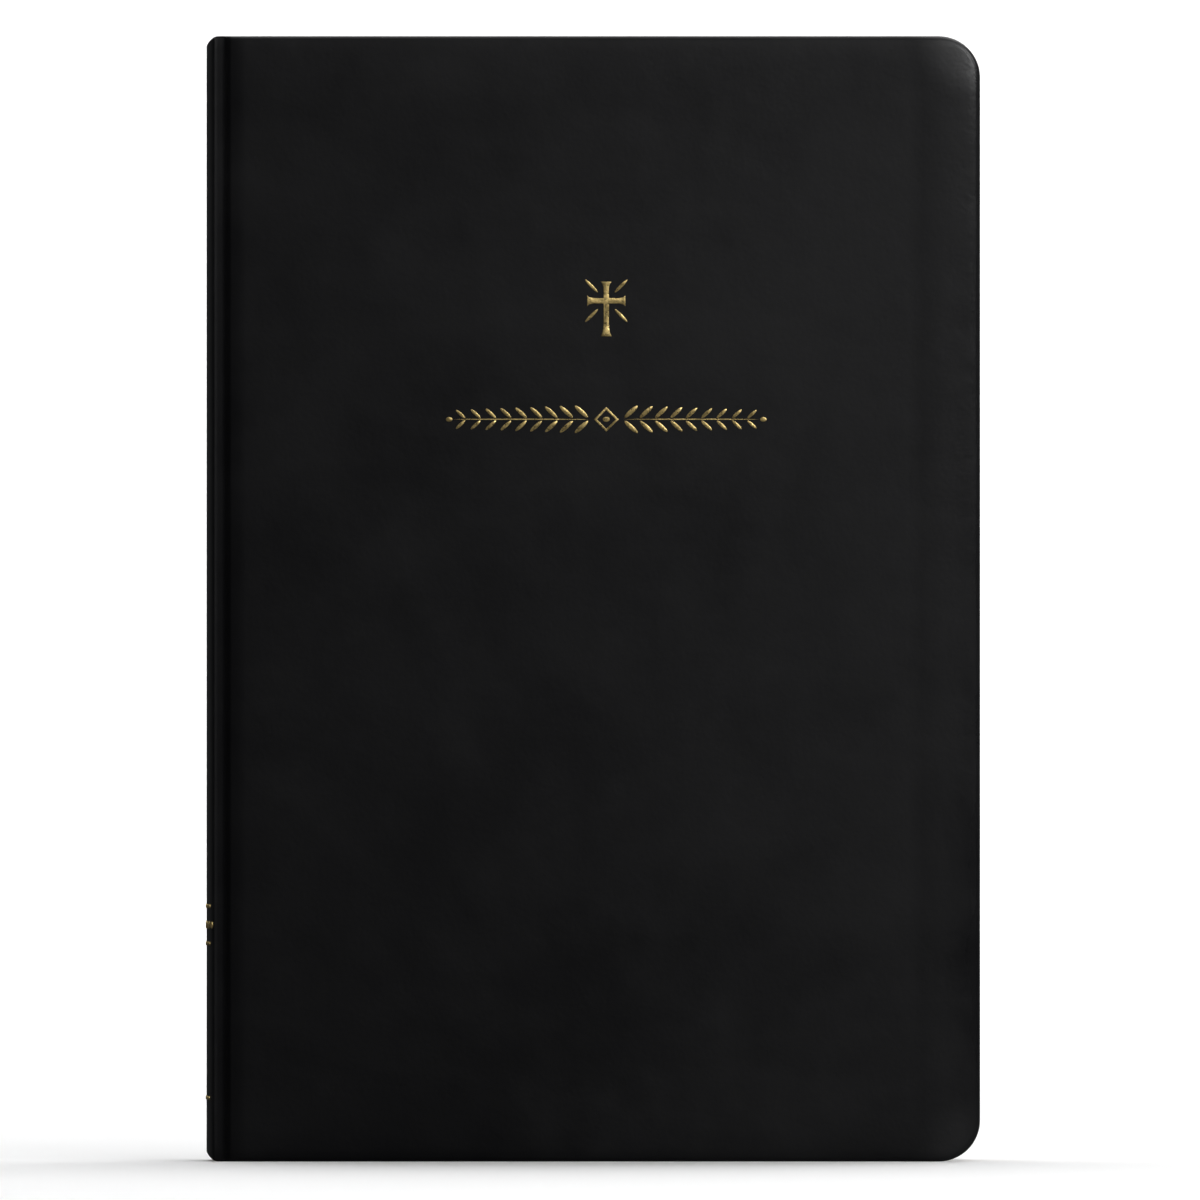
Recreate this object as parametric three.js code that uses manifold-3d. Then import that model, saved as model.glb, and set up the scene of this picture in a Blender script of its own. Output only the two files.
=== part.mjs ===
// A limp-bound Bible, closed and standing on its tail edge: a sewn text block with a gently rounded spine,
// held in a soft cover of imitation leather over thin flexible boards.
// Millimetres, +Z up. The spine is on the -X side and the front cover faces -Y.
// Every outline below is drawn with x measured from the outermost line of the spine; the group moves them to the
// origin, which is the centre of the footprint, at the level the book stands on.
import * as THREE from "three";
import { mergeVertices } from "three/addons/utils/BufferGeometryUtils.js";
import Module from "manifold-3d";

const wasm = await Module();
wasm.setup();

// Leaves and sections
const page_width = 152.4;
const page_height = 228.6;
const page_corner = 5.6;
const sections_per_half = 12;
const section_thickness = 0.74;
const section_gap = 0.06;
const leaf_count = 4; // loose leaves at the middle opening, each on a hinge of its own
const leaf_thickness = 0.12;
const paper_gap = 0.1; // air between two sheets that turn apart

// Ribbon marker and thread, which lie in the middle opening
const ribbon_width = 6;
const ribbon_thickness = 0.25;
const ribbon_tail = 38; // how far the tucked-in end stops above the foot of the page
const ribbon_slant = 22; // how far the ribbon drifts from the gutter on its way down
const ribbon_notch = 3; // the swallowtail cut in its end
const thread_thickness = 0.4;
const thread_margin = 18; // from the ends of the fold to the first and last stitch

// Cover
const head_square = 3; // overhang past the page at head and tail
const fore_square = 5; // overhang past the page at the fore edge
const skin_thickness = 0.9;
const board_thickness = 0.7;
const turn_in_thickness = 0.5;
const turn_in_width = 13;
const endpaper_thickness = 0.2;
const endpaper_margin = 3.5; // turned-in skin left showing round the pastedown
const glue = 0.05; // film between layers that are stuck together
const board_play = 0.3; // from a board's edge to the fold of the skin round it

// Spine
const spine_round = 2.2; // how far the crown of the sewn folds stands past their shoulders
const lining_thickness = 0.3; // the mull, and the paper liner over it
const lining_gap = 0.15; // adhesive between the folds, the linings and the skin
const joint_setback = 0.7; // from the shoulder of the folds to the line the cover bends on
const groove_half_width = 1.1; // from that line to the crest of the spine's shoulder
const groove_depth = 0.7;
const shoulder_drop = 0.3; // how far the crest stays below the face of the cover
const joint_gap = 0.3; // between the spine skin and the cover skin at the bending line
const panel_setback = 1.7; // from the bending line to the flat of the cover
const band_radial = 1.5; // headband and tailband, across the thickness of the bead
const band_height = 1.8;
const split_gap = 0.1; // between the two halves of what bends at the middle opening
const arc_steps = 10;
const corner_steps = 8;

// The stack from the middle opening out to the faces of the covers
const centre_half = (leaf_count * (leaf_thickness + paper_gap) + paper_gap) / 2;
const ribbon_room = ribbon_thickness + 2 * paper_gap; // behind the last leaf, in front of the back half
const half_opening = centre_half + ribbon_room / 2;
const section_pitch = section_thickness + section_gap;
const half_block = half_opening + sections_per_half * section_pitch;
const flyleaf_y = half_block + paper_gap; // inner faces, measured from the middle plane
const pastedown_y = flyleaf_y + endpaper_thickness + paper_gap;
const turn_in_y = pastedown_y + endpaper_thickness + glue;
const board_y = turn_in_y + turn_in_thickness + glue;
const skin_y = board_y + board_thickness + glue;
const half_thickness = skin_y + skin_thickness;

// Across the width, from the outermost line of the spine
const fold_crown = skin_thickness + 2 * lining_thickness + 2 * lining_gap;
const fold_shoulder = fold_crown + spine_round;
const joint_x = fold_shoulder + joint_setback;
const crest_x = joint_x - groove_half_width;
const cover_start = joint_x + joint_gap;
const panel_x = joint_x + panel_setback;
const page_end = fold_shoulder + page_width;
const cover_end = page_end + fore_square;

// Up the height
const cover_height = page_height + 2 * head_square;
const page_foot = head_square;
const page_head = head_square + page_height;
const cover_corner = page_corner + head_square;

// The folds lie on an arc whose chord is the block's thickness and whose rise is spine_round.
const fold_radius = (half_block ** 2 + spine_round ** 2) / (2 * spine_round);
const fold_centre_x = fold_crown + fold_radius;
const foldX = (y) => fold_centre_x - Math.sqrt(fold_radius ** 2 - y ** 2);

const finish = (color, roughness, metalness = 0) => new THREE.MeshStandardMaterial({ color, roughness, metalness });
const leatherette = finish(0x17171a, 0.55);
const card = finish(0x8c7f6c, 0.9);
const endpaper = finish(0x2b2a2c, 0.85);
const bible_paper = finish(0xf1ead8, 0.9);
const gauze = finish(0xe6dfcd, 0.95);
const kraft_paper = finish(0xb08a5c, 0.9);
const band_silk = finish(0xb89246, 0.6);
const satin = finish(0x8a1f2b, 0.45);
const linen_thread = finish(0xf4efe2, 0.8);

const book = new THREE.Group();
book.position.x = -cover_end / 2;

function addPart(name, geometry, material) {
  const part = new THREE.Mesh(geometry, material);
  part.name = name;
  book.add(part);
}

function toSolid(geometry) {
  const bare = geometry.clone();
  bare.deleteAttribute("normal");
  bare.deleteAttribute("uv");
  const merged = mergeVertices(bare, 1e-4);
  return new wasm.Manifold(
    new wasm.Mesh({
      numProp: 3,
      vertProperties: merged.attributes.position.array,
      triVerts: new Uint32Array(merged.index.array),
    }),
  );
}

function toGeometry(solid) {
  const mesh = solid.getMesh();
  const geometry = new THREE.BufferGeometry();
  geometry.setAttribute("position", new THREE.BufferAttribute(mesh.vertProperties, 3));
  geometry.setIndex(new THREE.BufferAttribute(mesh.triVerts, 1));
  geometry.computeVertexNormals();
  return geometry;
}

// An upright rectangle in x and z whose two corners at the fore edge are rounded.
function sheetOutline(x0, x1, z0, z1, radius) {
  const outline = new THREE.Shape();
  outline.moveTo(x0, z0);
  outline.lineTo(x1 - radius, z0);
  outline.absarc(x1 - radius, z0 + radius, radius, -Math.PI / 2, 0, false);
  outline.lineTo(x1, z1 - radius);
  outline.absarc(x1 - radius, z1 - radius, radius, 0, Math.PI / 2, false);
  outline.lineTo(x0, z1);
  outline.closePath();
  return outline;
}

// An outline in x and z given a thickness from y0 to y1.
function slab(outline, y0, y1) {
  const [front, back] = [Math.min(y0, y1), Math.max(y0, y1)];
  const geometry = new THREE.ExtrudeGeometry(outline, {
    depth: back - front,
    bevelEnabled: false,
    curveSegments: corner_steps,
  });
  return geometry.rotateX(Math.PI / 2).translate(0, back, 0);
}

// A closed outline in x and y carried up from z0 to z1.
function column(points, z0, z1) {
  const outline = new THREE.Shape(points.map(([x, y]) => new THREE.Vector2(x, y)));
  return new THREE.ExtrudeGeometry(outline, { depth: z1 - z0, bevelEnabled: false }).translate(0, 0, z0);
}

const coverSheet = (x0, inset) =>
  sheetOutline(x0, cover_end - inset, inset, cover_height - inset, Math.max(cover_corner - inset, 1));

// Sections are numbered from the front of the book. Each is as wide as the page and is set back to the arc of folds.
function section(y0, y1) {
  const spine_edge = foldX(Math.max(Math.abs(y0), Math.abs(y1)));
  return slab(sheetOutline(spine_edge, spine_edge + page_width, page_foot, page_head, page_corner), y0, y1);
}

function addSections() {
  for (let i = 0; i < 2 * sections_per_half; i++) {
    const in_front = i < sections_per_half;
    const start = in_front ? i * section_pitch - half_block : half_opening + (i - sections_per_half) * section_pitch;
    const y0 = start + section_gap / 2;
    addPart(`section_${String(i + 1).padStart(2, "0")}`, section(y0, y0 + section_thickness), bible_paper);
  }
}

const leaves_start = -half_opening + paper_gap;
const leafY = (i) => leaves_start + i * (leaf_thickness + paper_gap);

function addCentreLeaves() {
  for (let i = 0; i < leaf_count; i++) {
    const spine_edge = fold_crown + paper_gap;
    const outline = sheetOutline(spine_edge, fold_crown + page_width, page_foot, page_head, page_corner);
    addPart(`centre_leaf_${i + 1}`, slab(outline, leafY(i), leafY(i) + leaf_thickness), bible_paper);
  }
}

function addRibbon() {
  const head_x = fold_crown + band_radial + paper_gap;
  const foot_x = head_x + ribbon_slant;
  const foot_z = page_foot + ribbon_tail;
  const outline = new THREE.Shape();
  outline.moveTo(head_x, page_head);
  outline.lineTo(foot_x, foot_z);
  outline.lineTo(foot_x + ribbon_width / 2, foot_z + ribbon_notch);
  outline.lineTo(foot_x + ribbon_width, foot_z);
  outline.lineTo(head_x + ribbon_width, page_head);
  outline.closePath();
  const y = leafY(leaf_count);
  addPart("ribbon_marker", slab(outline, y, y + ribbon_thickness), satin);
}

// The stitch line that shows in the fold, between the ribbon's plane and the spine.
function addThread() {
  const x0 = fold_crown + paper_gap;
  const y0 = leafY(leaf_count);
  const corners = [
    [x0, y0],
    [x0 + thread_thickness, y0],
    [x0 + thread_thickness, y0 + ribbon_thickness],
    [x0, y0 + ribbon_thickness],
  ];
  addPart("sewing_thread", column(corners, page_foot + thread_margin, page_head - thread_margin), linen_thread);
}

// One side's half of a layer that follows the arc of folds, from the middle plane out to the shoulder.
function foldLayer(side, inner, outer, z0, z1) {
  const along = (offset) => {
    const radius = fold_radius + offset;
    const first = Math.asin(split_gap / 2 / radius);
    const last = Math.asin(half_block / fold_radius);
    return Array.from({ length: arc_steps + 1 }, (_, i) => {
      const angle = first + ((last - first) * i) / arc_steps;
      return [fold_centre_x - radius * Math.cos(angle), side * radius * Math.sin(angle)];
    });
  };
  const points = [...along(outer), ...along(inner).reverse()];
  return column(side > 0 ? points.reverse() : points, z0, z1);
}

function addSpineLinings(side, half) {
  const mull = lining_gap;
  const liner = mull + lining_thickness + glue;
  addPart(`mull_${half}`, foldLayer(side, mull, mull + lining_thickness, page_foot, page_head), gauze);
  addPart(`spine_liner_${half}`, foldLayer(side, liner, liner + lining_thickness, page_foot, page_head), kraft_paper);
  const bead = (z0) => foldLayer(side, mull - band_radial, mull, z0, z0 + band_height);
  addPart(`headband_${half}`, bead(page_head + glue), band_silk);
  addPart(`tailband_${half}`, bead(page_foot - glue - band_height), band_silk);
}

// One side's half of the spine skin: a quarter of an ellipse from the middle plane to the crest of the shoulder,
// then down into the groove that the cover bends on.
function addSpineSkin(side, half) {
  const crest_y = half_thickness - shoulder_drop;
  const quarter = (inset) => {
    const across = crest_x - inset;
    const out = crest_y - inset;
    const first = Math.asin(split_gap / 2 / out);
    return Array.from({ length: arc_steps + 1 }, (_, i) => {
      const angle = first + ((Math.PI / 2 - first) * i) / arc_steps;
      return [crest_x - across * Math.cos(angle), side * out * Math.sin(angle)];
    });
  };
  const groove_y = half_thickness - groove_depth;
  const points = [
    ...quarter(0),
    [joint_x, side * groove_y],
    [joint_x, side * (groove_y - skin_thickness)],
    ...quarter(skin_thickness).reverse(),
  ];
  addPart(`spine_skin_${half}`, column(side > 0 ? points.reverse() : points, 0, cover_height), leatherette);
}

// The panel of skin: an outer wall folded round the board at head, tail and fore edge, and a sloping strip that
// carries it down into the groove. The folded edges are the turn-ins.
function coverSkin(side) {
  const inner_y = turn_in_y;
  const whole = toSolid(slab(coverSheet(panel_x, 0), side * half_thickness, side * inner_y));
  const past_spine = panel_x - joint_gap;
  const pocket_outline = sheetOutline(
    past_spine,
    cover_end - skin_thickness,
    skin_thickness,
    cover_height - skin_thickness,
    cover_corner - skin_thickness,
  );
  const pocket = toSolid(slab(pocket_outline, side * skin_y, side * (inner_y + turn_in_thickness)));
  const window_outline = sheetOutline(
    past_spine,
    cover_end - turn_in_width,
    turn_in_width,
    cover_height - turn_in_width,
    1,
  );
  const window_hole = toSolid(slab(window_outline, side * skin_y, side * (inner_y - glue)));
  const groove_y = half_thickness - groove_depth;
  const slope = [
    [cover_start, side * groove_y],
    [panel_x, side * half_thickness],
    [panel_x + skin_thickness, side * half_thickness],
    [panel_x + skin_thickness, side * skin_y],
    [panel_x, side * skin_y],
    [cover_start, side * (groove_y - skin_thickness)],
  ];
  const strip = toSolid(column(side > 0 ? slope.reverse() : slope, 0, cover_height));
  return toGeometry(whole.subtract(pocket).subtract(window_hole).add(strip));
}

// The endpaper stuck inside the cover: it lies over the turn-ins and dips onto the board between them.
function pastedown(side) {
  const floor_y = board_y - glue;
  const over_turn_ins = toSolid(
    slab(coverSheet(cover_start + joint_gap, endpaper_margin), side * pastedown_y, side * (pastedown_y + endpaper_thickness)),
  );
  const dipping = (clear) =>
    sheetOutline(
      panel_x + clear,
      cover_end - turn_in_width - clear,
      turn_in_width + clear,
      cover_height - turn_in_width - clear,
      1,
    );
  const dip = toSolid(slab(dipping(board_play), side * pastedown_y, side * floor_y));
  const hollow = toSolid(
    slab(dipping(board_play + endpaper_thickness), side * (pastedown_y - glue), side * (floor_y - endpaper_thickness)),
  );
  return toGeometry(over_turn_ins.add(dip).subtract(hollow));
}

function addCover(side, name) {
  addPart(`${name}_skin`, coverSkin(side), leatherette);
  const board_inset = skin_thickness + board_play;
  const board = slab(coverSheet(panel_x + board_play, board_inset), side * board_y, side * (board_y + board_thickness));
  addPart(`${name}_board`, board, card);
  addPart(`${name}_pastedown`, pastedown(side), endpaper);
  const flyleaf = sheetOutline(cover_start + joint_gap, page_end, page_foot, page_head, page_corner);
  addPart(`${name}_flyleaf`, slab(flyleaf, side * flyleaf_y, side * (flyleaf_y + endpaper_thickness)), endpaper);
}

addSections();
addCentreLeaves();
addRibbon();
addThread();
for (const [side, name] of [
  [-1, "front"],
  [1, "back"],
]) {
  addSpineLinings(side, name);
  addSpineSkin(side, name);
  addCover(side, name);
}

export default book;
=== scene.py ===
import math

import bmesh
import bpy
from bpy.props import FloatProperty, IntProperty, PointerProperty, StringProperty
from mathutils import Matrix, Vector


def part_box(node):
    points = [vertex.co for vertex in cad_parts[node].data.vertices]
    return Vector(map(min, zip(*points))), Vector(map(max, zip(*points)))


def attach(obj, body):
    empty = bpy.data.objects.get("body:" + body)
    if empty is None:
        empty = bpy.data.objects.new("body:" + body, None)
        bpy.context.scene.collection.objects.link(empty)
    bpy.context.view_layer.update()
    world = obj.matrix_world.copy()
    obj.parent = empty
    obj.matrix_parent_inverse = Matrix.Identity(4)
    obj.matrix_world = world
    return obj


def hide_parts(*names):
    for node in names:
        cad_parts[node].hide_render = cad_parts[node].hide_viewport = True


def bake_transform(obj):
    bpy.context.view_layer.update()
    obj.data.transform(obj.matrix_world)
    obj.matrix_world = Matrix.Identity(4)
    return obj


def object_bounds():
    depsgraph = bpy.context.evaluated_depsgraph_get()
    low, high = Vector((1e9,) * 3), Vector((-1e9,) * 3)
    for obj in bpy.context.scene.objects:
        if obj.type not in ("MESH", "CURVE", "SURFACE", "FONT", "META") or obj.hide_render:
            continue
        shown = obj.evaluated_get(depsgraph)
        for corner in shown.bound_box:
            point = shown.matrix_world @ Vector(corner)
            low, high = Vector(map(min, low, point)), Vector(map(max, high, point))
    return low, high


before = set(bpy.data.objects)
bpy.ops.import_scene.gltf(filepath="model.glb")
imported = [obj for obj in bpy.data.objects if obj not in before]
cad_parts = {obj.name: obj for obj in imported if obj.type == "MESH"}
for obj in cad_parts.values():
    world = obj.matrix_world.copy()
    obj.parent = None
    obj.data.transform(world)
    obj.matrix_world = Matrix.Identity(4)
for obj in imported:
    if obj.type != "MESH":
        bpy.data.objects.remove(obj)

bl_info = {
    "name": "Limp-bound Bible",
    "version": (1, 0, 0),
    "blender": (4, 5, 0),
    "location": "View3D > Sidebar > Bible",
    "description": "Leather, foil, paper and bands of a soft-covered Bible, modelled round its packed frame",
    "category": "Object",
}

MM = 0.001
cad_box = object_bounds()
SIDES = {"front": -1, "back": 1}
UPRIGHT = (math.radians(90), 0, 0)

# Where things lie, taken from the frame.
BOOK_LOW, BOOK_HIGH = cad_box
SPINE_X = BOOK_LOW.x
TAIL_Z, HEAD_Z = BOOK_LOW.z, BOOK_HIGH.z
COVER_END = BOOK_HIGH.x
FACE_Y = BOOK_HIGH.y
SKIN_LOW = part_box("back_skin")[0]
COVER_START = SKIN_LOW.x
SKIN_INNER_Y = SKIN_LOW.y
SPINE_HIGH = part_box("spine_skin_back")[1]
CREST_Y = SPINE_HIGH.y
JOINT_X = (SPINE_HIGH.x + COVER_START) / 2
# The groove is pressed in a little on the spine's side of the joint's axis.
GROOVE_X = JOINT_X - 1.0 * MM
PAGE_LOW, PAGE_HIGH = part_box("centre_leaf_1")
FOLD_SHOULDER_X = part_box("section_01")[0].x
HALF_BLOCK = -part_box("section_01")[0].y
# The folds' rounded back starts this far outside the leaves' own edge.
FOLD_X = PAGE_LOW.x - 0.1 * MM


# ----------------------------------------------------------------------------
# Sizes and colours that a user would change


def length(name, description, default):
    """A length in metres that the panel shows in the scene's own unit."""
    return FloatProperty(name=name, description=description, default=default, unit="LENGTH")


def tone(name, description, default):
    """A colour kept as an sRGB hex value."""
    return StringProperty(name=name, description=f"{description}, sRGB hex", default=default)


class BibleSizes(bpy.types.PropertyGroup):
    """Lengths and counts of the book's finish"""

    skin_wall: length("Skin wall", "Thickness of the imitation leather", 0.5 * MM)
    rim_radius: length("Rim radius", "Radius of the rolled edge of a cover", 0.98 * MM)
    corner_radius: length("Cover corner", "Radius of the cover's corners at the fore edge", 8.6 * MM)
    turn_in: length("Turn-in", "Width of skin folded inside the cover", 13 * MM)
    imprint: length("Imprint", "How far the skin sinks inside the line of the turn-in", 0.2 * MM)
    joint_slope: length(
        "Joint slope", "Width of the strip from the joint line to the flat panel", 1.55 * MM
    )
    groove_depth: length("Groove depth", "How far the joint line lies below the face", 1.5 * MM)
    crest_setback: length("Crest setback", "From the joint line back to the shoulder of the spine", 2 * MM)
    spine_cap: length("Spine cap", "How far the spine's ends dip at their middle", 2 * MM)
    panel_step: length("Panel step", "Spacing of the cuts that let a flat skin be shaped", 3 * MM)
    endpaper: length("Endpaper", "Thickness of the folded endpaper", 0.16 * MM)
    foil: length("Foil", "Thickness of the blocked foil", 0.09 * MM)
    cross_height: length("Cross height", "Height of the foil cross", 11.4 * MM)
    cross_drop: length("Cross place", "From the cover's head to the middle of the cross", 56.9 * MM)
    garland_length: length("Garland length", "Length of the foil garland", 66.9 * MM)
    garland_drop: length("Garland place", "From the cover's head to the middle of the garland", 79.9 * MM)
    garland_leaves: IntProperty(
        name="Garland leaves",
        description="Pairs of leaves on each side of the garland",
        default=9,
        min=2,
        max=20,
    )
    band_pitch: length("Band pitch", "Width of one stripe of the headband", 0.9 * MM)
    text_pitch: length("Line pitch", "From one line of print to the next", 3.1 * MM)


class BibleColours(bpy.types.PropertyGroup):
    """Colours of the book and its floor"""

    leather: tone("Leather", "Imitation leather", "#08080A")
    # The lighter leather colour serves the random clouds and also the painted light that lightens the cover
    # towards the fore edge and the head.
    leather_light: tone("Leather, clouds and painted light", "Its lighter clouds", "#1A1A1B")
    foil: tone("Foil", "Gold foil", "#FBDD93")
    gilt: tone("Gilt edge", "Gilding on the page edges", "#B08640")
    paper: tone("Paper", "Thin bible paper", "#F1EBDC")
    ink: tone("Ink", "Print on the pages", "#3A3634")
    endpaper: tone("Endpaper", "Endpapers", "#201F21")
    card: tone("Board", "Cover boards", "#8C7F6C")
    gauze: tone("Mull", "Gauze over the folds", "#E3DCC9")
    kraft: tone("Liner", "Kraft paper spine liner", "#A98557")
    band: tone("Band", "Silk of the headbands", "#C39A48")
    band_stripe: tone("Band stripe", "Second silk of the headbands", "#1B1A1C")
    ribbon: tone("Ribbon", "Satin ribbon", "#7E1823")
    thread: tone("Thread", "Sewing thread", "#EFE8D6")
    stage: tone("Floor", "Floor and backdrop", "#F4F4F4")


def sizes():
    """The user's sizes."""
    return bpy.context.scene.bible_sizes


def linear(hex_colour):
    """An sRGB hex colour as linear red, green, blue and full alpha."""
    parts = [int(hex_colour.lstrip("#")[i : i + 2], 16) / 255 for i in (0, 2, 4)]
    return tuple(c / 12.92 if c <= 0.04045 else ((c + 0.055) / 1.055) ** 2.4 for c in parts) + (1.0,)


def colour(name, share=1.0):
    """One of the user's colours, made darker or lighter by a share."""
    red, green, blue, alpha = linear(getattr(bpy.context.scene.bible_colours, name))
    return red * share, green * share, blue * share, alpha


# ----------------------------------------------------------------------------
# Modelling tools


def select_none():
    """Leaves any editing and clears the selection."""
    if bpy.context.mode != "OBJECT":
        bpy.ops.object.mode_set(mode="OBJECT")
    bpy.ops.object.select_all(action="DESELECT")


def select_only(obj):
    """Makes one object the selected and active one."""
    select_none()
    obj.select_set(True)
    bpy.context.view_layer.objects.active = obj


def select_whole():
    """Selects all of the mesh being edited."""
    bpy.ops.mesh.select_all(action="SELECT")


def settle(name):
    """Names the new primitive, puts its place into its mesh, and opens it for editing, all of it selected."""
    obj = bpy.context.object
    obj.name = name
    obj.data.name = name
    bpy.ops.object.transform_apply(location=True, rotation=True, scale=True)
    bpy.ops.object.mode_set(mode="EDIT")
    bpy.ops.mesh.select_mode(type="VERT")
    select_whole()
    return obj


def pick(kind, test):
    """In edit mode, selects the vertices, edges or faces that pass a test."""
    bpy.ops.mesh.select_mode(type=kind)
    bpy.ops.mesh.select_all(action="DESELECT")
    mesh = bpy.context.object.data
    shape = bmesh.from_edit_mesh(mesh)
    parts = {"VERT": shape.verts, "EDGE": shape.edges, "FACE": shape.faces}[kind]
    for part in parts:
        if test(part):
            part.select_set(True)
    shape.select_flush_mode()
    bmesh.update_edit_mesh(mesh)


def draw_out(x, y, z):
    """Extrudes what is selected by a step along each axis."""
    bpy.ops.mesh.extrude_region_move(TRANSFORM_OT_translate={"value": (x, y, z)})


def near(a, b, by=0.02 * MM):
    """Whether two lengths are the same but for rounding."""
    return abs(a - b) < by


def all_at(edge, axis, value):
    """Whether a whole edge lies at one value along an axis."""
    return all(near(v.co[axis], value) for v in edge.verts)


def cut(axis, value):
    """Cuts the whole mesh by one plane across an axis."""
    place, normal = [0, 0, 0], [0, 0, 0]
    place[axis] = value
    normal[axis] = 1
    select_whole()
    bpy.ops.mesh.bisect(plane_co=place, plane_no=normal)


def slice_grid(axis, low, high, step):
    """Cuts the whole mesh by evenly spaced planes across one axis."""
    count = max(2, round((high - low) / step))
    for i in range(1, count):
        cut(axis, low + (high - low) * i / count)


def upright_edge(name, x, y, low, high):
    """Starts a sheet as one upright edge: a plane is merged to a point and the point is drawn upwards."""
    select_none()
    bpy.ops.mesh.primitive_plane_add(size=MM, location=(x, y, low))
    obj = settle(name)
    bpy.ops.mesh.merge(type="CENTER")
    draw_out(0, 0, high - low)
    bpy.ops.mesh.select_mode(type="EDGE")
    select_whole()
    return obj


def draw_along(points):
    """Extrudes the selected edges through a list of places, the first being where they are."""
    for (x0, y0), (x1, y1) in zip(points, points[1:]):
        draw_out(x1 - x0, y1 - y0, 0)


def leave_edit(clean=True):
    """Goes back to object mode; clean also merges double vertices and turns all faces outwards."""
    if clean:
        select_whole()
        bpy.ops.mesh.remove_doubles(threshold=0.001 * MM)
        bpy.ops.mesh.normals_make_consistent(inside=False)
    bpy.ops.object.mode_set(mode="OBJECT")


def shape_vertices(obj, place):
    """Moves each vertex to where place(vertex position) says."""
    for vertex in obj.data.vertices:
        vertex.co = place(vertex.co.copy())
    obj.data.update()


def apply_modifier(obj, name, kind, **settings):
    """Adds a modifier with its settings and applies it at once."""
    modifier = obj.modifiers.new(name, kind)
    for key, value in settings.items():
        setattr(modifier, key, value)
    select_only(obj)
    bpy.ops.object.modifier_apply(modifier=name)


def thicken(obj, name, thickness, offset):
    """Gives a sheet its thickness: offset -1 is all on its inner side, 0 half on each side."""
    apply_modifier(obj, name, "SOLIDIFY", thickness=thickness, offset=offset)


def smooth(obj, degrees):
    """Shades an object smooth, but for edges sharper than an angle."""
    select_only(obj)
    bpy.ops.object.shade_smooth_by_angle(angle=math.radians(degrees))


def remember_places(mesh):
    """Keeps where each point lies and each face looks in the closed book, so that patterns bend with it."""
    points = mesh.attributes.new("rest_place", "FLOAT_VECTOR", "POINT")
    points.data.foreach_set("vector", [value for vertex in mesh.vertices for value in vertex.co])
    faces = mesh.attributes.new("rest_facing", "FLOAT_VECTOR", "FACE")
    faces.data.foreach_set("vector", [value for polygon in mesh.polygons for value in polygon.normal])


def finish_piece(obj, material):
    """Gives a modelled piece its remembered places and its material."""
    remember_places(obj.data)
    obj.data.materials.clear()
    obj.data.materials.append(material)
    return obj


def dress(names, material):
    """Gives CAD nodes their finished material."""
    for name in names:
        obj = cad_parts[name]
        if "rest_place" not in obj.data.attributes:
            remember_places(obj.data)
        if not obj.material_slots:
            obj.data.materials.append(material)
        for place in obj.material_slots:
            place.link = "OBJECT"
            place.material = material


def ease(t):
    """Goes smoothly from 0 to 1 as t does."""
    t = min(1.0, max(0.0, t))
    return t * t * (3 - 2 * t)


# ----------------------------------------------------------------------------
# Materials


def add(tree, kind, settings=None, inputs=None):
    """Adds one shader node with its settings, and sets or links its inputs."""
    node = tree.nodes.new(f"ShaderNode{kind}")
    for key, value in (settings or {}).items():
        setattr(node, key, value)
    for key, value in (inputs or {}).items():
        if isinstance(value, bpy.types.NodeSocket):
            tree.links.new(value, node.inputs[key])
        else:
            node.inputs[key].default_value = value
    return node


def new_material(name, **fixed):
    """A material with a Principled shader whose fixed values are set on its own sockets."""
    material = bpy.data.materials.new(name)
    material.use_nodes = True
    tree = material.node_tree
    shader = tree.nodes["Principled BSDF"]
    for key, value in fixed.items():
        shader.inputs[key.replace("_", " ")].default_value = value
    return material, tree, shader


def maths(tree, operation, a, b=0.0, c=0.0):
    """One step of arithmetic between values or outputs."""
    return add(tree, "Math", {"operation": operation}, {0: a, 1: b, 2: c}).outputs[0]


def times(tree, a, b):
    """Two values multiplied."""
    return maths(tree, "MULTIPLY", a, b)


def blend_colour(tree, share, first, second):
    """Mixes two colours, all of the second where share is 1."""
    node = add(tree, "Mix", {"data_type": "RGBA"}, {0: share, 6: first, 7: second})
    return node.outputs[2]


def ramp(tree, value, low, high, to_low=0.0, to_high=1.0):
    """Maps a value from one range to another, smoothly at both ends."""
    settings = {"interpolation_type": "SMOOTHSTEP"}
    inputs = {0: value, 1: low, 2: high, 3: to_low, 4: to_high}
    return add(tree, "MapRange", settings, inputs).outputs[0]


def remembered(tree, name):
    """Reads what remember_places stored in the mesh."""
    return add(tree, "Attribute", {"attribute_name": name}).outputs["Vector"]


def noise(tree, size, detail=2.0, roughness=0.5):
    """Cloudy noise whose features are about as wide as size, in metres."""
    place = remembered(tree, "rest_place")
    inputs = {"Vector": place, "Scale": 1 / size, "Detail": detail, "Roughness": roughness}
    return add(tree, "TexNoise", None, inputs).outputs[0]


def bump(tree, height, distance, strength, under=None):
    """Relief of a given depth, laid over the relief under it."""
    inputs = {"Height": height, "Distance": distance, "Strength": strength}
    if under is not None:
        inputs["Normal"] = under
    return add(tree, "Bump", None, inputs).outputs[0]


def place_axes(tree):
    """The x, y and z of each point of the closed book."""
    return add(tree, "SeparateXYZ", None, {0: remembered(tree, "rest_place")}).outputs


def feed(shader, name, value):
    """Links a value to one of the shader's sockets."""
    shader.id_data.links.new(value, shader.inputs[name])


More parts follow.
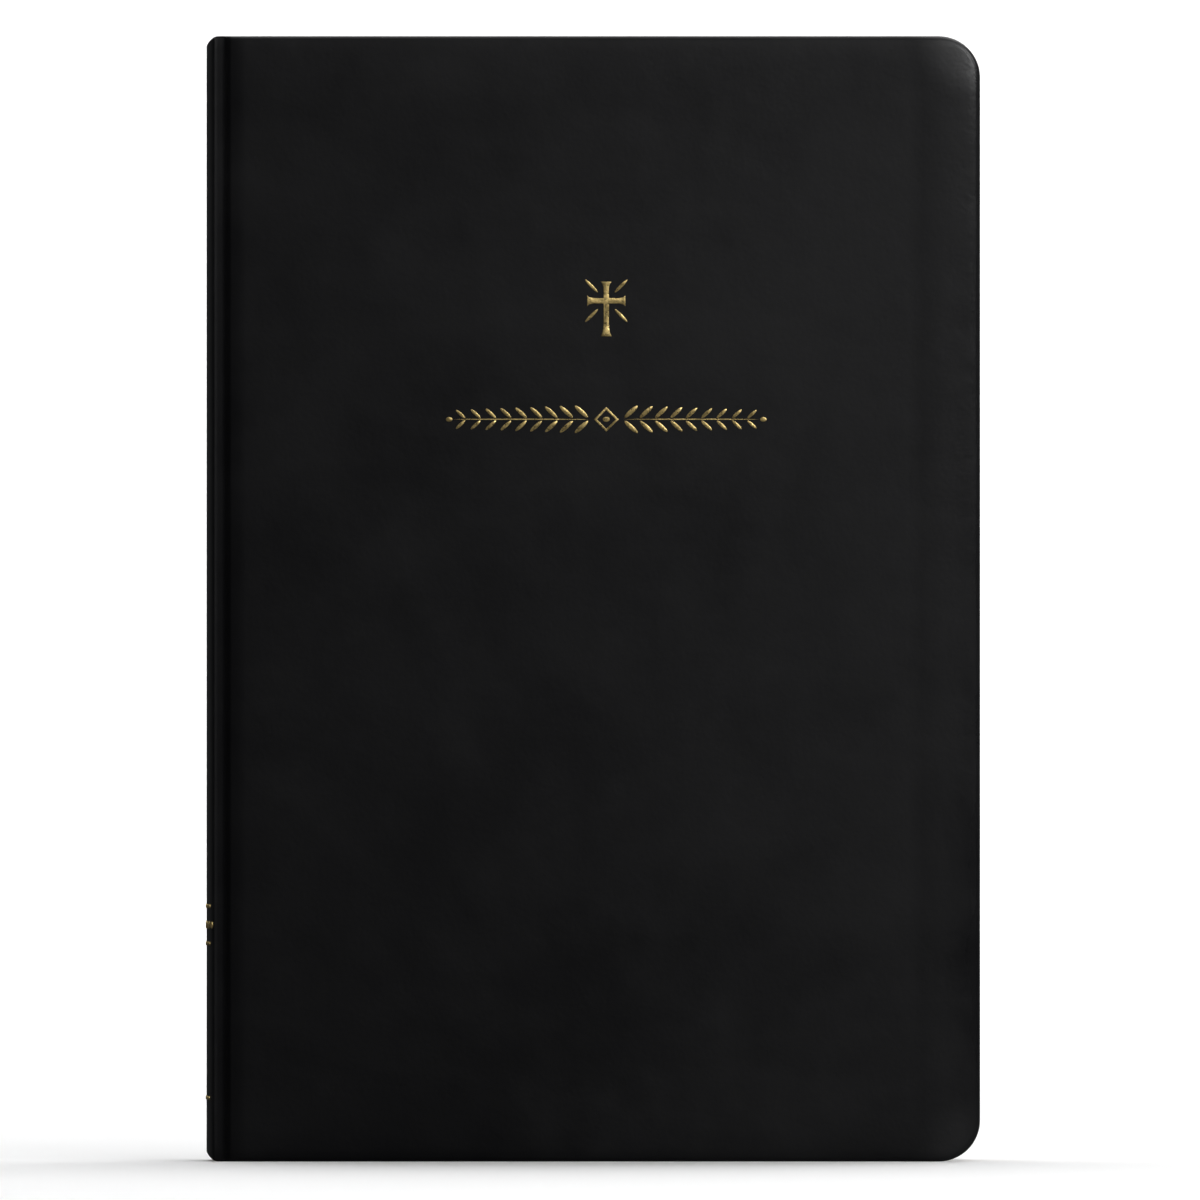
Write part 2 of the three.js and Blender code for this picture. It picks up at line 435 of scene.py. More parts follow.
def leather_material():
    """Polyurethane on cloth, pressed smooth: a satin black whose clouds come from uneven pressing, with a
    very fine pore that only shows as a softened highlight."""
    material, tree, shader = new_material("pressed_polyurethane_leather", IOR=1.5)
    axes = place_axes(tree)
    clouds = noise(tree, 30 * MM, 3.0, 0.55)
    fine_clouds = noise(tree, 8 * MM, 4.0, 0.6)
    pore_size = 0.9 * MM
    pore_inputs = {"Vector": remembered(tree, "rest_place"), "Scale": 1 / pore_size}
    pores = add(tree, "TexVoronoi", {"feature": "SMOOTH_F1"}, pore_inputs)
    grain = noise(tree, 1.6 * MM, 3.0, 0.6)
    # Painted light: the skin's colour is made lighter towards the fore edge and the head, standing in for the
    # lamps' fall across the cover.
    across = ramp(tree, axes[0], SPINE_X + 15 * MM, COVER_END, -0.1, 0.6)
    up = ramp(tree, axes[2], TAIL_Z, HEAD_Z, 0.0, 0.3)
    mix = maths(tree, "MULTIPLY_ADD", clouds, 1.1, maths(tree, "ADD", across, up))
    mix = maths(tree, "MULTIPLY_ADD", fine_clouds, 0.5, mix)
    mix = ramp(tree, mix, 0.6, 1.9)
    feed(shader, "Base Color", blend_colour(tree, mix, colour("leather"), colour("leather_light")))
    to_fore = maths(tree, "SUBTRACT", COVER_END, axes[0])
    to_end = maths(tree, "MINIMUM", maths(tree, "SUBTRACT", HEAD_Z, axes[2]), axes[2])
    squared = maths(tree, "MULTIPLY_ADD", to_fore, to_fore, times(tree, to_end, to_end))
    to_corner = maths(tree, "SQRT", squared)
    feed(shader, "Specular IOR Level", ramp(tree, to_corner, 3 * MM, 15 * MM, 0.55, 0.18))
    sheen = maths(tree, "MULTIPLY_ADD", clouds, 0.2, ramp(tree, to_fore, 0.0, 9 * MM, 0.12, 0.33))
    sheen = maths(tree, "MULTIPLY_ADD", fine_clouds, 0.1, sheen)
    feed(shader, "Roughness", sheen)
    soft = bump(tree, clouds, 0.9 * MM, 0.5)
    soft = bump(tree, fine_clouds, 0.12 * MM, 0.5, soft)
    soft = bump(tree, grain, 0.05 * MM, 0.35, soft)
    soft = bump(tree, pores.outputs[0], 0.035 * MM, 0.4, soft)
    feed(shader, "Normal", soft)
    return material


def foil_material():
    """Hot-stamped metal foil: a mirror-like gold broken up by the leather beneath it."""
    material, tree, shader = new_material("hot_stamped_gold_foil", Metallic=1.0)
    patches = noise(tree, 2.2 * MM, 3.0, 0.6)
    specks = noise(tree, 0.5 * MM, 2.0, 0.6)
    dull = colour("foil", 0.62)
    feed(shader, "Base Color", blend_colour(tree, ramp(tree, patches, 0.35, 0.6), dull, colour("foil")))
    feed(shader, "Roughness", ramp(tree, specks, 0.3, 0.7, 0.24, 0.46))
    pressed = bump(tree, patches, 0.12 * MM, 0.7)
    feed(shader, "Normal", bump(tree, specks, 0.05 * MM, 0.6, pressed))
    return material


def leaf_lines(tree, axes):
    """Edges of single leaves: fine lines across the thickness, coarser than the leaves so that they show."""
    pitch, wander = 0.12 * MM, 0.25 * MM
    drift = noise(tree, 25 * MM, 2.0, 0.5)
    shifted = maths(tree, "MULTIPLY_ADD", drift, wander, axes[1])
    return maths(tree, "FRACT", maths(tree, "DIVIDE", shifted, pitch))


def paper_material(printed):
    """Thin calendered bible paper: matt cream faces, with two columns of greeked print where wanted, and
    edges trimmed, sanded and gilded, which gives a soft metal band ruled by the leaves."""
    name = "printed_bible_paper_gilt_edges" if printed else "bible_paper_gilt_edges"
    material, tree, shader = new_material(name, IOR=1.45, Specular_IOR_Level=0.3)
    axes = place_axes(tree)
    facing = add(tree, "SeparateXYZ", None, {0: remembered(tree, "rest_facing")}).outputs
    across = maths(tree, "ABSOLUTE", facing[1])
    on_edge = maths(tree, "LESS_THAN", across, 0.5)
    at_spine = maths(tree, "LESS_THAN", facing[0], -0.5)
    gilded = times(tree, on_edge, maths(tree, "SUBTRACT", 1.0, at_spine))
    fibres = noise(tree, 3 * MM, 4.0, 0.6)
    shade = colour("paper", 0.93)
    face = blend_colour(tree, fibres, shade, colour("paper"))
    if printed:
        face = blend_colour(tree, print_mask(tree, axes), face, colour("ink"))
    lines = leaf_lines(tree, axes)
    dark_gilt = colour("gilt", 0.6)
    edge = blend_colour(tree, ramp(tree, lines, 0.1, 0.5), dark_gilt, colour("gilt"))
    feed(shader, "Base Color", blend_colour(tree, gilded, face, edge))
    feed(shader, "Metallic", times(tree, gilded, 0.9))
    feed(shader, "Roughness", maths(tree, "MULTIPLY_ADD", gilded, -0.45, 0.85))
    relief = times(tree, lines, on_edge)
    feed(shader, "Normal", bump(tree, relief, 0.03 * MM, 0.6))
    return material


def print_mask(tree, axes):
    """Two columns of greeked lines: rows of grey strokes broken into words, with no letter shapes in them."""
    pitch = sizes().text_pitch
    inner, outer, gutter, foot, head = 13 * MM, 10 * MM, 5 * MM, 16 * MM, 14 * MM
    word_length, gap_share = 1.4 * MM, 0.2
    left = PAGE_LOW.x + inner
    right = PAGE_HIGH.x - outer
    middle = (left + right) / 2
    row = maths(tree, "DIVIDE", maths(tree, "SUBTRACT", axes[2], PAGE_LOW.z), pitch)
    row_number = maths(tree, "FLOOR", row)
    in_row = maths(tree, "FRACT", row)
    stroke = times(tree, ramp(tree, in_row, 0.26, 0.36), ramp(tree, in_row, 0.76, 0.66))
    offset = add(tree, "TexWhiteNoise", {"noise_dimensions": "1D"}, {"W": row_number}).outputs[0]
    along = maths(tree, "MULTIPLY_ADD", offset, 3.0, maths(tree, "DIVIDE", axes[0], word_length))
    cell = add(tree, "CombineXYZ", None, {0: maths(tree, "FLOOR", along), 1: row_number}).outputs[0]
    word = add(tree, "TexWhiteNoise", {"noise_dimensions": "2D"}, {"Vector": cell}).outputs[0]
    words = maths(tree, "GREATER_THAN", word, gap_share)
    texture = ramp(tree, noise(tree, 0.55 * MM, 1.0), 0.35, 0.6, 0.25, 0.9)

    def between(value, low, high):
        above = maths(tree, "GREATER_THAN", value, low)
        return times(tree, above, maths(tree, "LESS_THAN", value, high))

    left_column = between(axes[0], left, middle - gutter / 2)
    right_column = between(axes[0], middle + gutter / 2, right)
    columns = maths(tree, "ADD", left_column, right_column)
    page = between(axes[2], PAGE_LOW.z + foot, PAGE_HIGH.z - head)
    mask = stroke
    for share in (words, texture, columns, page):
        mask = times(tree, mask, share)
    return mask


def endpaper_material():
    """Black coated endpaper with an embossed fine linen: matt, with the faintest cross ribs."""
    material, tree, shader = new_material("embossed_black_endpaper", IOR=1.45, Specular_IOR_Level=0.3)
    axes = place_axes(tree)
    clouds = noise(tree, 12 * MM, 3.0)
    light = colour("endpaper", 1.5)
    feed(shader, "Base Color", blend_colour(tree, clouds, colour("endpaper"), light))
    feed(shader, "Roughness", ramp(tree, clouds, 0.3, 0.7, 0.62, 0.78))
    rib = 0.8 * MM
    ribs = [maths(tree, "SINE", times(tree, axes[i], math.tau / rib)) for i in (0, 2)]
    feed(shader, "Normal", bump(tree, maths(tree, "ADD", *ribs), 0.02 * MM, 0.5))
    return material


def fibre_material(name, key, size, rough, weave=None):
    """Plain paper, card, gauze or thread: matt, with fibres, and threads where it is woven."""
    material, tree, shader = new_material(name, IOR=1.45, Specular_IOR_Level=0.25, Roughness=rough)
    axes = place_axes(tree)
    fibres = noise(tree, size, 4.0, 0.65)
    shade = colour(key, 0.75)
    height = fibres
    if weave:
        turns = [times(tree, axes[i], math.pi / weave) for i in (1, 2)]
        waves = [maths(tree, "ABSOLUTE", maths(tree, "SINE", turn)) for turn in turns]
        cloth = maths(tree, "MAXIMUM", *waves)
        height = maths(tree, "MULTIPLY_ADD", cloth, 0.8, times(tree, fibres, 0.2))
    feed(shader, "Base Color", blend_colour(tree, height, shade, colour(key)))
    feed(shader, "Normal", bump(tree, height, 0.15 * MM, 0.5))
    return material


def band_material():
    """Silk wound round a core in two colours: stripes across the bead, each a few twisted threads wide."""
    material, tree, shader = new_material("wound_silk_headband", IOR=1.5, Roughness=0.45, Sheen_Weight=0.3)
    axes = place_axes(tree)
    turns = maths(tree, "DIVIDE", axes[1], sizes().band_pitch)
    stripe = maths(tree, "GREATER_THAN", maths(tree, "FRACT", times(tree, turns, 0.5)), 0.5)
    threads = maths(tree, "ABSOLUTE", maths(tree, "SINE", times(tree, turns, math.pi)))
    feed(shader, "Base Color", blend_colour(tree, stripe, colour("band"), colour("band_stripe")))
    feed(shader, "Normal", bump(tree, threads, 0.2 * MM, 0.8))
    return material


def ribbon_material():
    """Woven satin: a dense warp along the ribbon, crossed by a weaker weft, softens its highlights."""
    material, tree, shader = new_material("woven_satin_ribbon", IOR=1.5, Roughness=0.36, Sheen_Weight=0.4)
    axes = place_axes(tree)
    warp_pitch, weft_pitch = 0.3 * MM, 0.5 * MM
    warp = maths(tree, "SINE", times(tree, axes[0], math.tau / warp_pitch))
    weft = maths(tree, "SINE", times(tree, axes[2], math.tau / weft_pitch))
    cloth = maths(tree, "MULTIPLY_ADD", weft, 0.4, warp)
    shade = colour("ribbon", 0.7)
    feed(shader, "Base Color", blend_colour(tree, ramp(tree, cloth, -1.0, 1.0), shade, colour("ribbon")))
    feed(shader, "Normal", bump(tree, cloth, 0.03 * MM, 0.5))
    return material


def stage_material():
    """Seamless studio paper."""
    material, tree, shader = new_material("seamless_studio_paper", Roughness=0.9, Specular_IOR_Level=0.1)
    fibres = noise(tree, 400 * MM, 2.0)
    shade = colour("stage", 0.98)
    feed(shader, "Base Color", blend_colour(tree, fibres, shade, colour("stage")))
    return material


# ----------------------------------------------------------------------------
# The shape of the covers' faces


def edge_distance(x, z):
    """How far a place on the panel is from the nearest of its head, tail and fore edges."""
    return min(COVER_END - x, HEAD_Z - z, z - TAIL_Z)


def face_drop(x, z):
    """How far the skin lies below its highest level: it sinks inside the turn-ins and is rubbed down towards
    the rim, the corners and the joint."""
    s = sizes()
    to_fore, to_end = COVER_END - x, min(HEAD_Z - z, z - TAIL_Z)
    past_fore, past_ends = to_fore - s.turn_in, to_end - s.turn_in

    def fading(depth, distance, reach):
        return depth * math.exp(-distance / reach)

    # Inside the line of the turn-in the skin sinks, less so near the head and tail, behind a soft valley.
    end_share = 0.65 + 0.35 * ease((past_ends + 6 * MM) / (12 * MM))
    sunk = s.imprint * ease((past_fore + 2.2 * MM) / (3.4 * MM)) * end_share
    valley = 0.5 * s.imprint * math.exp(-(((past_fore + 0.3 * MM) / (1.6 * MM)) ** 2))
    valley *= ease((past_ends + 9 * MM) / (8 * MM))
    rubbed = fading(0.34 * MM, edge_distance(x, z), 2.6 * MM)
    curled = fading(0.7 * MM, math.hypot(to_fore, to_end), 6 * MM)
    along_joint = fading(0.2 * MM, x - GROOVE_X, 2.6 * MM)
    # Pressing leaves the whole face a little uneven, about a mean level.
    unevenness, mean_level = 0.06 * MM, 0.12 * MM
    wander = unevenness * (math.sin(x * 61 + 1.3) * math.cos(z * 47 - 0.4) + math.sin(x * 23 + z * 31))
    return max(0.0, sunk + valley + rubbed + curled + along_joint + wander + mean_level)


# ----------------------------------------------------------------------------
# Pieces


class BIBLE_OT_stage(bpy.types.Operator):
    """Adds the floor, the backdrop, the lights and the camera"""

    bl_idname = "bible.stage"
    bl_label = "Stage"

    def execute(self, context):
        self.camera()
        self.backdrop()
        self.lights()
        return {"FINISHED"}

    def camera(self):
        """A long lens square to the front cover, so that the book's far edges hide behind its near ones."""
        frame_width, lens, sensor = 250.1 * MM, 900, 36
        aside, down = 1.47 * MM, 0.25 * MM
        data = bpy.data.cameras.new("camera")
        data.lens = lens
        data.sensor_width = sensor
        data.clip_end = 60
        camera = bpy.data.objects.new("camera", data)
        bpy.context.scene.collection.objects.link(camera)
        middle = (BOOK_LOW + BOOK_HIGH) / 2
        distance = frame_width * lens / sensor
        camera.location = (middle.x + aside, -FACE_Y - distance, middle.z - down)
        camera.rotation_euler = UPRIGHT
        bpy.context.scene.camera = camera

    def backdrop(self):
        """Studio paper laid on the floor and swept up behind the book."""
        half, rise, sweep = 8.0, 4.0, 1.8
        select_none()
        bpy.ops.mesh.primitive_plane_add(size=2 * half, location=(0, 0, TAIL_Z))
        stage = settle("studio_backdrop")
        pick("EDGE", lambda e: all_at(e, 1, half))
        draw_out(0, 0, rise)
        pick("EDGE", lambda e: all_at(e, 1, half) and all_at(e, 2, TAIL_Z))
        bpy.ops.mesh.bevel(offset=sweep, segments=24, affect="EDGES")
        leave_edit(clean=False)
        smooth(stage, 60)
        remember_places(stage.data)
        stage.data.materials.append(stage_material())
        # As black flags would, this keeps the white paper out of the leather's reflections.
        stage.visible_glossy = False

    def lights(self):
        """Softboxes for the book and two for the backdrop, in a nearly dark room."""

        def softbox(name, place, aim, width, height, power):
            data = bpy.data.lights.new(name, "AREA")
            data.shape = "RECTANGLE"
            data.size = width
            data.size_y = height
            data.energy = power
            light = bpy.data.objects.new(name, data)
            bpy.context.scene.collection.objects.link(light)
            light.location = place
            light.rotation_euler = (Vector(aim) - Vector(place)).to_track_quat("-Z", "Y").to_euler()

        middle = (0, 0, HEAD_Z / 2)
        softbox("key_softbox", (0.55, -0.5, 0.62), (0.05, 0, 0.18), 0.4, 0.4, 1.6)
        softbox("corner_softbox", (0.33, -1.0, 0.49), (0.06, 0, 0.2), 0.3, 0.3, 2.3)
        softbox("fill_softbox", (0.1, -2.2, 1.6), middle, 1.2, 1.2, 1.6)
        softbox("overhead_softbox", (0.3, 1.0, 2.4), (0, 0.5, 0), 3.0, 3.0, 91)
        softbox("backdrop_left", (-3.0, 4.0, 2.6), (0, 7.5, 0.4), 1.8, 1.8, 190)
        softbox("backdrop_right", (3.0, 4.0, 2.6), (0, 7.5, 0.4), 1.8, 1.8, 190)
        world = bpy.data.worlds.new("studio")
        world.use_nodes = True
        background = world.node_tree.nodes["Background"]
        background.inputs["Color"].default_value = (0.9, 0.92, 0.95, 1)
        background.inputs["Strength"].default_value = 0.08
        bpy.context.scene.world = world
        bpy.context.scene.view_settings.view_transform = "Standard"


class BIBLE_OT_cover_leather(bpy.types.Operator):
    """Models the skin of each cover: panel, rolled rims, turn-ins and the strip that bends at the joint"""

    bl_idname = "bible.cover_leather"
    bl_label = "Cover leather"

    def execute(self, context):
        material = leather_material()
        for name, side in SIDES.items():
            skin = self.panel(name, side)
            finish_piece(skin, material)
            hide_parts(f"{name}_skin")
            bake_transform(skin)
        return {"FINISHED"}

    def panel(self, name, side):
        """A box rounded and opened into a shell, drawn on to the groove and given the leather's thickness."""
        s = sizes()
        panel_x = GROOVE_X + s.joint_slope
        outer, inner = side * FACE_Y, side * SKIN_INNER_Y
        middle = ((panel_x + COVER_END) / 2, (outer + inner) / 2, (TAIL_Z + HEAD_Z) / 2)
        extent = (COVER_END - panel_x, abs(outer - inner), HEAD_Z - TAIL_Z)
        select_none()
        bpy.ops.mesh.primitive_cube_add(size=1, location=middle, scale=extent)
        skin = settle(f"{name}_cover_leather")
        pick("EDGE", lambda e: all_at(e, 0, COVER_END) and near(e.verts[0].co.z, e.verts[1].co.z))
        bpy.ops.mesh.bevel(offset=s.corner_radius, segments=16, affect="EDGES", clamp_overlap=False)
        pick("FACE", lambda f: f.normal.x < -0.9)
        bpy.ops.mesh.delete(type="FACE")
        pick("EDGE", lambda e: not all_at(e, 0, panel_x) and (all_at(e, 1, outer) or all_at(e, 1, inner)))
        bpy.ops.mesh.bevel(offset=s.rim_radius, segments=5, affect="EDGES", clamp_overlap=False)
        cut(0, COVER_END - s.turn_in)
        cut(2, TAIL_Z + s.turn_in)
        cut(2, HEAD_Z - s.turn_in)
        pick("FACE", lambda f: f.normal.y * side < -0.99 and self.past_turn_in(f.calc_center_median()))
        bpy.ops.mesh.delete(type="FACE")
        self.joint_strip(panel_x, inner)
        slice_grid(0, panel_x, COVER_END, s.panel_step)
        slice_grid(2, TAIL_Z, HEAD_Z, s.panel_step)
        # Closer cuts along the rims, where the skin is rubbed down the most.
        zone, step = 9 * MM, 1.3 * MM
        slice_grid(0, COVER_END - zone, COVER_END - s.rim_radius, step)
        slice_grid(2, TAIL_Z + s.rim_radius, TAIL_Z + zone, step)
        slice_grid(2, HEAD_Z - zone, HEAD_Z - s.rim_radius, step)
        leave_edit()
        self.soften(skin, side)
        thicken(skin, "wall", s.skin_wall, -1)
        smooth(skin, 40)
        return skin

    def past_turn_in(self, centre):
        """Whether a place lies inside the line where the folded skin ends."""
        return edge_distance(centre.x, centre.z) > sizes().turn_in

    def joint_strip(self, panel_x, inner):
        """Draws the open edge on towards the spine and presses it down into the groove."""
        s = sizes()
        steps = 5
        depth = FACE_Y - SKIN_INNER_Y
        pick("EDGE", lambda e: all_at(e, 0, panel_x) and e.is_boundary)
        level = 1.0
        for i in range(1, steps + 1):
            wanted = 1 - ease(i / steps) * s.groove_depth / depth
            draw_out(-s.joint_slope / steps, 0, 0)
            bpy.ops.transform.resize(value=(1, wanted / level, 1), center_override=(0, inner, 0))
            level = wanted

    def soften(self, skin, side):
        """Lets the flat skin sink, swell and roll, most on its outer face and not at all on its inner one."""

        def place(co):
            share = (abs(co.y) - SKIN_INNER_Y) / (FACE_Y - SKIN_INNER_Y)
            co.y -= side * face_drop(co.x, co.z) * ease(share)
            return co

        shape_vertices(skin, place)


class BIBLE_OT_spine_leather(bpy.types.Operator):
    """Models the skin of the spine: one sheet from groove to groove over the rounded back, its ends dipped"""

    bl_idname = "bible.spine_leather"
    bl_label = "Spine leather"

    def execute(self, context):
        s = sizes()
        leather, cap_radius = 0.6 * MM, 0.34 * MM
        points = spine_profile()
        skin = upright_edge("spine_leather", *points[0], TAIL_Z, HEAD_Z)
        draw_along(points)
        slice_grid(2, TAIL_Z, HEAD_Z, s.panel_step)
        leave_edit()
        shape_vertices(skin, cap_dip)
        self.face_out(skin)
        thicken(skin, "wall", leather, -1)
        rounding = {"segments": 3, "limit_method": "ANGLE", "angle_limit": math.radians(50)}
        apply_modifier(skin, "rolled_caps", "BEVEL", width=cap_radius, **rounding)
        smooth(skin, 45)
        finish_piece(skin, bpy.data.materials["pressed_polyurethane_leather"])
        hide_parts("spine_skin_front", "spine_skin_back")
        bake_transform(skin)
        return {"FINISHED"}

    def face_out(self, skin):
        """Turns the sheet so that its faces look away from the pages."""
        middle = min(skin.data.polygons, key=lambda p: (round(p.center.x, 5), abs(p.center.z - HEAD_Z / 2)))
        if middle.normal.x > 0:
            select_only(skin)
            bpy.ops.object.mode_set(mode="EDIT")
            select_whole()
            bpy.ops.mesh.flip_normals()
            bpy.ops.object.mode_set(mode="OBJECT")


def spine_profile():
    """The spine's outline from the front joint to the back one, its edges tucked under the covers' skin."""
    s = sizes()
    steps = 36
    crest_x = GROOVE_X - s.crest_setback
    across = crest_x - SPINE_X
    groove_y = FACE_Y - s.groove_depth
    arc = []
    for i in range(steps + 1):
        angle = math.pi * (i / steps - 0.5)
        arc.append((crest_x - across * math.cos(angle), CREST_Y * math.sin(angle)))
    edge = [
        (crest_x + s.crest_setback * t, CREST_Y + (groove_y - CREST_Y) * ease(t)) for t in (0.35, 0.7, 0.97)
    ]
    # Past the groove the edge goes under the covers' skin.
    edge.append((GROOVE_X + 0.1 * MM, groove_y - 0.3 * MM))
    edge.append((GROOVE_X + 1.1 * MM, groove_y - s.skin_wall - 0.1 * MM))
    return [(x, -y) for x, y in reversed(edge)] + arc + edge


def cap_dip(co):
    """Dips the spine's ends, most at its outermost line, and leaves the length between them straight."""
    s = sizes()
    across_power, along_power = 2.4, 12
    start_x = GROOVE_X - s.crest_setback + 1.2 * MM
    outward = min(1.0, max(0.0, (start_x - co.x) / (start_x - SPINE_X)))
    dip = s.spine_cap * outward**across_power
    middle = (TAIL_Z + HEAD_Z) / 2
    reach = abs(co.z - middle) / (HEAD_Z - middle)
    co.z -= math.copysign(dip * reach**along_power, co.z - middle)
    return co


class BIBLE_OT_endpapers(bpy.types.Operator):
    """Models each endpaper: one sheet pasted inside the cover, folded at the joint and free as the flyleaf"""

    bl_idname = "bible.endpapers"
    bl_label = "Endpapers"

    def execute(self, context):
        material = endpaper_material()
        for name, side in SIDES.items():
            finish_piece(self.sheet(name, side), material)
        return {"FINISHED"}

    def sheet(self, name, side):
        """Draws the folded sheet, sinks its pasted half between the turn-ins and gives it its thickness."""
        s = sizes()
        cut_back, clearance, steps = 3 * MM, 0.1 * MM, 10
        paste_low, paste_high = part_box(f"{name}_pastedown")
        leaf_low, leaf_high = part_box(f"{name}_flyleaf")
        paste_y = side * (min(abs(paste_low.y), abs(paste_high.y)) + clearance)
        leaf_y = (leaf_low.y + leaf_high.y) / 2
        fold_x = leaf_low.x
        radius = abs(paste_y - leaf_y) / 2
        middle_y = (paste_y + leaf_y) / 2
        fold = []
        for i in range(steps + 1):
            angle = math.pi * i / steps
            fold.append((fold_x - radius * math.sin(angle), middle_y + side * radius * math.cos(angle)))
        points = [(paste_high.x, paste_y)] + fold + [(leaf_high.x, leaf_y)]
        sheet = upright_edge(f"{name}_endpaper", *points[0], leaf_low.z, leaf_high.z)
        draw_along(points)
        self.round_corners(paste_high.x, s.corner_radius - cut_back - 0.5 * MM, paste_y)
        self.round_corners(leaf_high.x, s.corner_radius - cut_back, leaf_y)
        slice_grid(0, fold_x + MM, paste_high.x, 1.5 * s.panel_step)
        slice_grid(2, leaf_low.z, leaf_high.z, 1.5 * s.panel_step)
        leave_edit()
        dip, slope, from_fold = 0.45 * MM, 2.5 * MM, 3 * MM

        def place(co):
            if near(co.y, paste_y):
                inside = min(edge_distance(co.x, co.z) - s.turn_in, co.x - fold_x - from_fold)
                co.y += side * dip * ease(inside / slope)
            return co

        shape_vertices(sheet, place)
        thicken(sheet, "paper", s.endpaper, 0)
        smooth(sheet, 40)
        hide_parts(f"{name}_pastedown", f"{name}_flyleaf")
        half = s.endpaper / 2 + 0.005 * MM
        start, end = (0, leaf_y + side * half, 0), (0, paste_y - side * half, 0)
        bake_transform(sheet)
        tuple(start)
        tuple(end)
        return sheet

    def round_corners(self, x, radius, y):
        """Rounds the two corners at one end of the drawn sheet."""
        pick("VERT", lambda v: near(v.co.x, x) and near(v.co.y, y))
        bpy.ops.mesh.bevel(offset=radius, segments=8, affect="VERTICES")


class BIBLE_OT_foil(bpy.types.Operator):
    """Blocks gold foil on the front cover and the spine: a cross, a garland of leaves and rows of studs"""

    bl_idname = "bible.foil"
    bl_label = "Gold foil"

    def execute(self, context):
        material = foil_material()
        # The flat of the cover starts a little past the joint; the foil lies a touch nearer the spine.
        flat_start, offset = JOINT_X + 1.1 * MM, 0.2 * MM
        centre_x = (flat_start + COVER_END) / 2 - offset
        for piece in (self.cross(centre_x), self.garland(centre_x)):
            self.block(piece)
            finish_piece(piece, material)
            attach(piece, "front_cover")
        spine = self.spine_rows()
        finish_piece(spine, material)
        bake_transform(spine)
        return {"FINISHED"}

    def block(self, piece):
        """Lays flat shapes on the skin, gives them the foil's thickness and rounds their edges."""
        foil = sizes().foil

        def place(co):
            co.y = -FACE_Y + face_drop(co.x, co.z) - foil
            return co

        shape_vertices(piece, place)
        thicken(piece, "foil", 2 * foil, -1)
        apply_modifier(piece, "pressed_edge", "BEVEL", width=0.9 * foil, segments=3, limit_method="ANGLE")
        smooth(piece, 60)

    def cross(self, centre_x):
        """A Latin cross with flared ends, drawn out from the square where its arms meet, with four rays."""
        s = sizes()
        # The arms' directions and lengths, and each step's part of an arm with its flare, all as shares.
        arms = {(0, 1): 0.3, (0, -1): 0.6, (1, 0): 0.3, (-1, 0): 0.3}
        arm_steps = ((0.62, 1.0), (0.26, 1.35), (0.12, 1.5))
        bar = 0.1 * s.cross_height
        centre_z = HEAD_Z - s.cross_drop + 0.15 * s.cross_height
        select_none()
        bpy.ops.mesh.primitive_plane_add(size=bar, location=(centre_x, -FACE_Y, centre_z), rotation=UPRIGHT)
        cross = settle("cover_cross_foil")
        for (ax, az), reach in arms.items():

            def on_arm(e, ax=ax, az=az):
                x = (e.verts[0].co.x + e.verts[1].co.x) / 2 - centre_x
                z = (e.verts[0].co.z + e.verts[1].co.z) / 2 - centre_z
                return near(x * ax + z * az, bar / 2) and near(x * az + z * ax, 0)

            pick("EDGE", on_arm)
            for part, flare in arm_steps:
                step = reach * s.cross_height * part
                draw_out(ax * step, 0, az * step)
                bpy.ops.transform.resize(
                    value=(flare if az else 1, 1, flare if ax else 1), center_override=(centre_x, 0, centre_z)
                )
        leave_edit()
        away, ray_length, ray_width = 0.27 * s.cross_height, 0.34 * s.cross_height, 0.06 * s.cross_height
        rays = []
        for ax in (-1, 1):
            for az in (-1, 1):
                x = centre_x + ax * away
                z = centre_z + az * away
                rays.append(self.leaf(x, z, ray_length, ray_width, ax * az * 45))
        return self.join(cross, rays)

    def garland(self, centre_x):
        """A lozenge with a laurel on each side: pairs of leaves along a stalk, smaller towards the ends."""
        s = sizes()
        z = HEAD_Z - s.garland_drop
        half = s.garland_length / 2
        lozenge, line = 2.6 * MM, 0.45 * MM
        select_none()
        bpy.ops.mesh.primitive_circle_add(
            vertices=4, radius=lozenge, fill_type="NGON", location=(centre_x, -FACE_Y, z), rotation=UPRIGHT
        )
        garland = settle("cover_garland_foil")
        bpy.ops.mesh.inset(thickness=line)
        bpy.ops.mesh.delete(type="FACE")
        leave_edit(clean=False)
        shapes = [self.leaf(centre_x, z, 1.5 * MM, 1.1 * MM, 0)]
        stalk_start, stalk_end, stalk_width = 3.6 * MM, half - 1.5 * MM, 0.26 * MM
        leaf_length, leaf_width, off_stalk, tilt = 3.8 * MM, 0.95 * MM, 1.6 * MM, 42
        pitch = (stalk_end - stalk_start) / s.garland_leaves
        for direction in (-1, 1):
            stalk_x = centre_x + direction * (stalk_start + stalk_end) / 2
            shapes.append(self.leaf(stalk_x, z, stalk_end - stalk_start, stalk_width, 0))
            shapes.append(self.leaf(centre_x + direction * (half - 0.7 * MM), z, 1.4 * MM, 1.0 * MM, 0))
            for i in range(s.garland_leaves):
                taper = 1 - 0.35 * i / s.garland_leaves
                x = centre_x + direction * (stalk_start + pitch * (i + 0.5))
                for up in (-1, 1):
                    leaf_z = z + up * off_stalk * taper
                    angle = direction * up * tilt
                    shapes.append(self.leaf(x, leaf_z, leaf_length * taper, leaf_width * taper, angle))
        return self.join(garland, shapes)

    def leaf(self, x, z, length, width, degrees):
        """A long oval, turned by an angle: a leaf, a stalk or a ray."""
        select_none()
        bpy.ops.mesh.primitive_circle_add(
            vertices=12, radius=0.5, fill_type="NGON", location=(x, -FACE_Y, z),
            rotation=(math.radians(90), math.radians(-degrees), 0),
        )
        bpy.context.object.scale = (length, width, 1)
        leaf = settle("leaf")
        leave_edit(clean=False)
        return leaf

